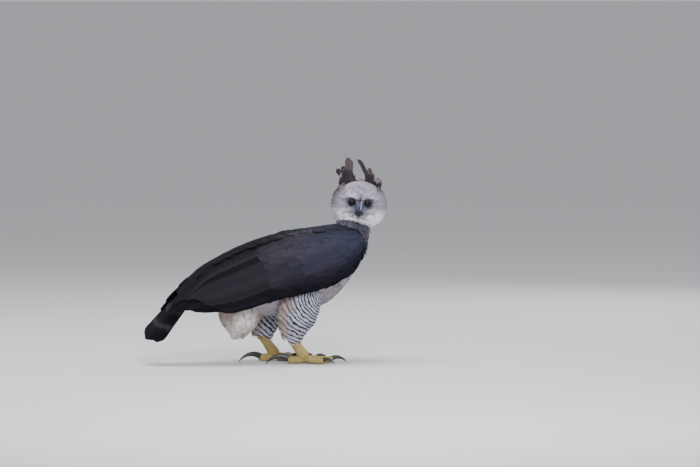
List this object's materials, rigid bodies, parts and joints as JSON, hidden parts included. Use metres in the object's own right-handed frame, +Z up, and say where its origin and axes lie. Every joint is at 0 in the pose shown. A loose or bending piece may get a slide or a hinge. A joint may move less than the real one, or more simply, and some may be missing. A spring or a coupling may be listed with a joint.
{
  "type": "harpy eagle",
  "caption": "Life-size still model of a standing adult harpy eagle, leaning forward with its head turned to its right and its crest raised.",
  "frame": {"origin": "on the floor, under the middle of the whole bird's bounding box", "axes": "+X is the way the body and the feet face, +Y the bird's left, +Z up; the head looks towards -Y"},
  "size_m": [0.746, 0.2902, 0.6184],
  "materials": {
    "body_feathers": "soft slate black contour feathers, white on the belly",
    "flight_feathers": "slate black vanes with paler edges and a faint blue sheen",
    "face_feathers": "short pale grey facial feathers with dark shafts",
    "crest_feathers": "loose dark grey and brown crest feathers",
    "barred_feathers": "white thigh feathers with fine wavy black bars",
    "bill_horn": "satin blue-black horn",
    "eye": "wet dark brown",
    "leg_skin": "matte yellow scaled skin",
    "claw_horn": "satin black horn"
  },
  "bodies": {
    "root": {"bill_lower": "bill_horn", "bill_upper": "bill_horn", "claw_hallux_left": "claw_horn", "claw_hallux_right": "claw_horn", "claw_inner_left": "claw_horn", "claw_inner_right": "claw_horn", "claw_middle_left": "claw_horn", "claw_middle_right": "claw_horn", "claw_outer_left": "claw_horn", "claw_outer_right": "claw_horn", "crest": "crest_feathers", "eye_left": "eye", "eye_right": "eye", "foot_left": "leg_skin", "foot_right": "leg_skin", "head": "face_feathers", "neck": "body_feathers", "tail": "flight_feathers", "tarsus_left": "leg_skin", "tarsus_right": "leg_skin", "thigh_left": "barred_feathers", "thigh_right": "barred_feathers", "torso": "body_feathers", "wing_left": "flight_feathers", "wing_right": "flight_feathers"}
  },
  "joints": []
}
